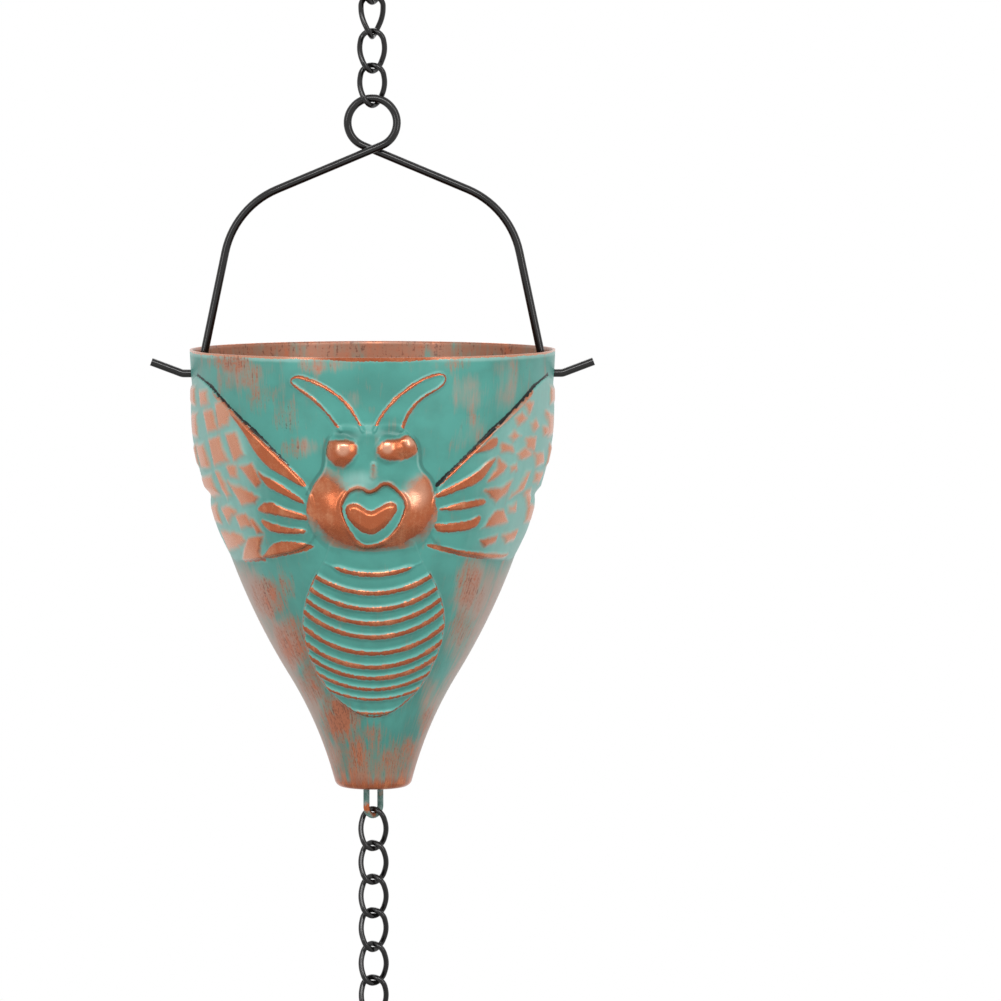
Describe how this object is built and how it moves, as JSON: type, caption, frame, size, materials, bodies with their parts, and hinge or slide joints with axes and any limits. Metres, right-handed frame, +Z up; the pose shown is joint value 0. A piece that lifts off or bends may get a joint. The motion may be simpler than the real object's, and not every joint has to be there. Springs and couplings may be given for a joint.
{
  "type": "rain chain",
  "caption": "Rain chain unit: an embossed bell-shaped cup with an open spout hangs on a wire bail, with twisted wire links above and below to join it end to end.",
  "frame": {"origin": "the hang point, under the top bend of the top link", "axes": "+Z up along the chain, -Y out of the cup's front, X along the bail's hinge"},
  "size_m": [0.1218, 0.1024, 0.3289],
  "materials": {
    "patina_copper": "teal patina paint with worn copper on the raised parts",
    "black_wire": "satin black"
  },
  "bodies": {
    "upper_link_1": {"upper_link_1": "black_wire"},
    "upper_link_2": {"upper_link_2": "black_wire"},
    "upper_link_3": {"upper_link_3": "black_wire"},
    "upper_link_4": {"upper_link_4": "black_wire"},
    "upper_link_5": {"upper_link_5": "black_wire"},
    "bail": {"bail": "black_wire"},
    "cup": {"cup": "patina_copper", "bottom_eye": "patina_copper"},
    "lower_link_1": {"lower_link_1": "black_wire"},
    "lower_link_2": {"lower_link_2": "black_wire"},
    "lower_link_3": {"lower_link_3": "black_wire"},
    "lower_link_4": {"lower_link_4": "black_wire"},
    "lower_link_5": {"lower_link_5": "black_wire"},
    "lower_link_6": {"lower_link_6": "black_wire"},
    "lower_link_7": {"lower_link_7": "black_wire"},
    "lower_link_8": {"lower_link_8": "black_wire"},
    "lower_link_9": {"lower_link_9": "black_wire"}
  },
  "joints": [
    {"name": "upper_swing_1", "type": "hinge", "parent": "upper_link_1", "child": "upper_link_2", "pos_m": [0, 0, -0.01025], "axis": [0.5446, 0.8387, 0], "range_deg": [-40, 40]},
    {"name": "upper_swing_2", "type": "hinge", "parent": "upper_link_2", "child": "upper_link_3", "pos_m": [0, 0, -0.01795], "axis": [0.9925, -0.1219, 0], "range_deg": [-40, 40]},
    {"name": "upper_swing_3", "type": "hinge", "parent": "upper_link_3", "child": "upper_link_4", "pos_m": [0, 0, -0.02895], "axis": [-0.1219, -0.9925, 0], "range_deg": [-40, 40]},
    {"name": "upper_swing_4", "type": "hinge", "parent": "upper_link_4", "child": "upper_link_5", "pos_m": [0, 0, -0.03665], "axis": [-0.866, 0.5, 0], "range_deg": [-40, 40]},
    {"name": "bail_swing", "type": "hinge", "parent": "upper_link_5", "child": "bail", "pos_m": [0, 0, -0.04565], "axis": [1, 0, 0], "range_deg": [-35, 35]},
    {"name": "cup_swing", "type": "hinge", "parent": "bail", "child": "cup", "pos_m": [0, 0, -0.12075], "axis": [-1, 0, 0], "range_deg": [-65, 65]},
    {"name": "eye_swing", "type": "hinge", "parent": "cup", "child": "lower_link_1", "pos_m": [0, 0, -0.2426], "axis": [0.7071, 0.7071, 0], "range_deg": [-40, 40]},
    {"name": "lower_swing_1", "type": "hinge", "parent": "lower_link_1", "child": "lower_link_2", "pos_m": [0, 0, -0.2502], "axis": [0.7071, -0.7071, 0], "range_deg": [-40, 40]},
    {"name": "lower_swing_2", "type": "hinge", "parent": "lower_link_2", "child": "lower_link_3", "pos_m": [0, 0, -0.2612], "axis": [-0.7071, -0.7071, 0], "range_deg": [-40, 40]},
    {"name": "lower_swing_3", "type": "hinge", "parent": "lower_link_3", "child": "lower_link_4", "pos_m": [0, 0, -0.2689], "axis": [-0.8192, 0.5736, 0], "range_deg": [-40, 40]},
    {"name": "lower_swing_4", "type": "hinge", "parent": "lower_link_4", "child": "lower_link_5", "pos_m": [0, 0, -0.2799], "axis": [0.5736, 0.8192, 0], "range_deg": [-40, 40]},
    {"name": "lower_swing_5", "type": "hinge", "parent": "lower_link_5", "child": "lower_link_6", "pos_m": [0, 0, -0.2876], "axis": [0.8192, -0.5736, 0], "range_deg": [-40, 40]},
    {"name": "lower_swing_6", "type": "hinge", "parent": "lower_link_6", "child": "lower_link_7", "pos_m": [0, 0, -0.2986], "axis": [-0.5736, -0.8192, 0], "range_deg": [-40, 40]},
    {"name": "lower_swing_7", "type": "hinge", "parent": "lower_link_7", "child": "lower_link_8", "pos_m": [0, 0, -0.3063], "axis": [-0.8192, 0.5736, 0], "range_deg": [-40, 40]},
    {"name": "lower_swing_8", "type": "hinge", "parent": "lower_link_8", "child": "lower_link_9", "pos_m": [0, 0, -0.3173], "axis": [0.5736, 0.8192, 0], "range_deg": [-40, 40]}
  ]
}
